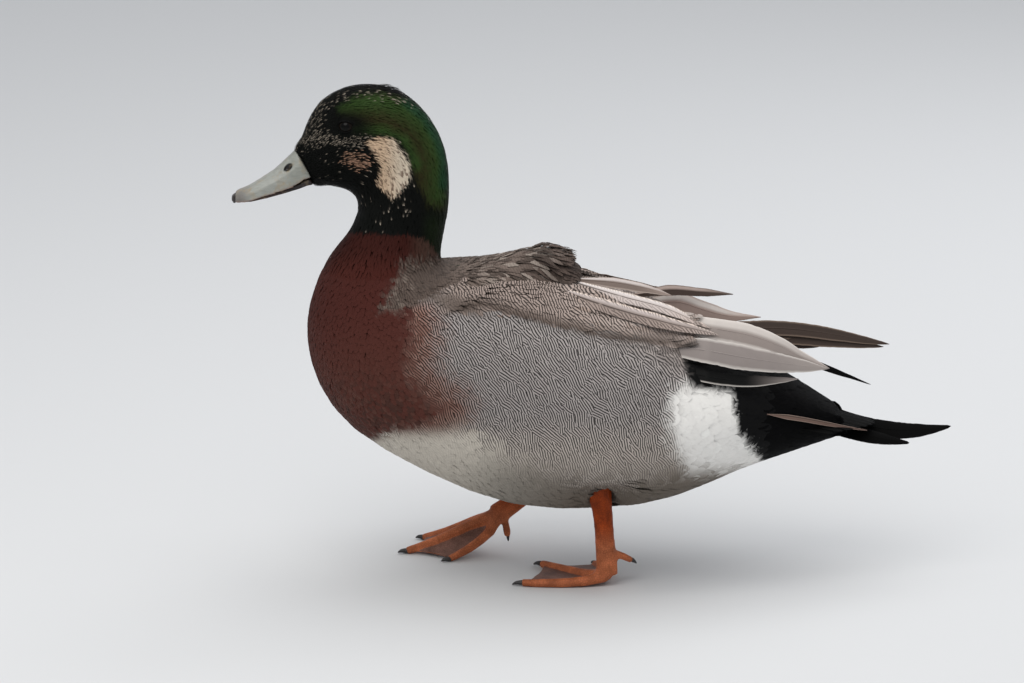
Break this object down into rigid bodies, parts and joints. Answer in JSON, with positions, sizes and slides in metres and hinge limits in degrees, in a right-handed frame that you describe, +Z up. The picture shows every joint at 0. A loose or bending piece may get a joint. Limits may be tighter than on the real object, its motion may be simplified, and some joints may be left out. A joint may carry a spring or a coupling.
{
  "type": "duck figure",
  "caption": "Life-size still model of a drake dabbling duck walking, with folded wings, pointed tail, flat bill and webbed feet.",
  "frame": {"origin": "centre of the bounding box, at the level of the floor under the feet", "axes": "-X the way the duck faces, +X to the tail, -Y its left side, +Z up"},
  "size_m": [0.4322, 0.15, 0.3024],
  "materials": {
    "head_feathers": "fine velvety feathers, near black with a green gloss",
    "flank_feathers": "matte body feathers with fine dark waves, maroon in front and white behind",
    "stern_feathers": "dense black feathers with a low gloss",
    "wing_feathers": "brown-grey feathers with fine dark waves",
    "tertial_feathers": "long silver-grey feathers with pale edges and shafts",
    "primary_feathers": "stiff dark brown flight feathers with a silky gloss",
    "tail_feathers": "grey-brown tail feathers with pale edges",
    "bill_horn": "satin blue-grey horn",
    "nail_horn": "glossy black horn",
    "eye": "wet dark brown eye",
    "leg_skin": "scaly orange skin with grey webs"
  },
  "bodies": {
    "root": {"head": "head_feathers", "neck": "head_feathers", "trunk": "flank_feathers", "stern": "stern_feathers", "mantle": "wing_feathers", "wing_left": "wing_feathers", "wing_right": "wing_feathers", "tertial_left_1": "tertial_feathers", "tertial_left_2": "tertial_feathers", "tertial_left_3": "tertial_feathers", "tertial_right_1": "tertial_feathers", "tertial_right_2": "tertial_feathers", "tertial_right_3": "tertial_feathers", "primaries_left": "primary_feathers", "primaries_right": "primary_feathers", "tail_fan": "tail_feathers", "tail_plume_left": "stern_feathers", "tail_plume_right": "stern_feathers", "bill_upper": "bill_horn", "bill_lower": "bill_horn", "bill_nail": "nail_horn", "eye_left": "eye", "eye_right": "eye", "shank_left": "leg_skin", "shank_right": "leg_skin", "foot_left": "leg_skin", "foot_right": "leg_skin", "claw_outer_left": "nail_horn", "claw_middle_left": "nail_horn", "claw_inner_left": "nail_horn", "claw_hind_left": "nail_horn", "claw_outer_right": "nail_horn", "claw_middle_right": "nail_horn", "claw_inner_right": "nail_horn", "claw_hind_right": "nail_horn"}
  },
  "joints": []
}
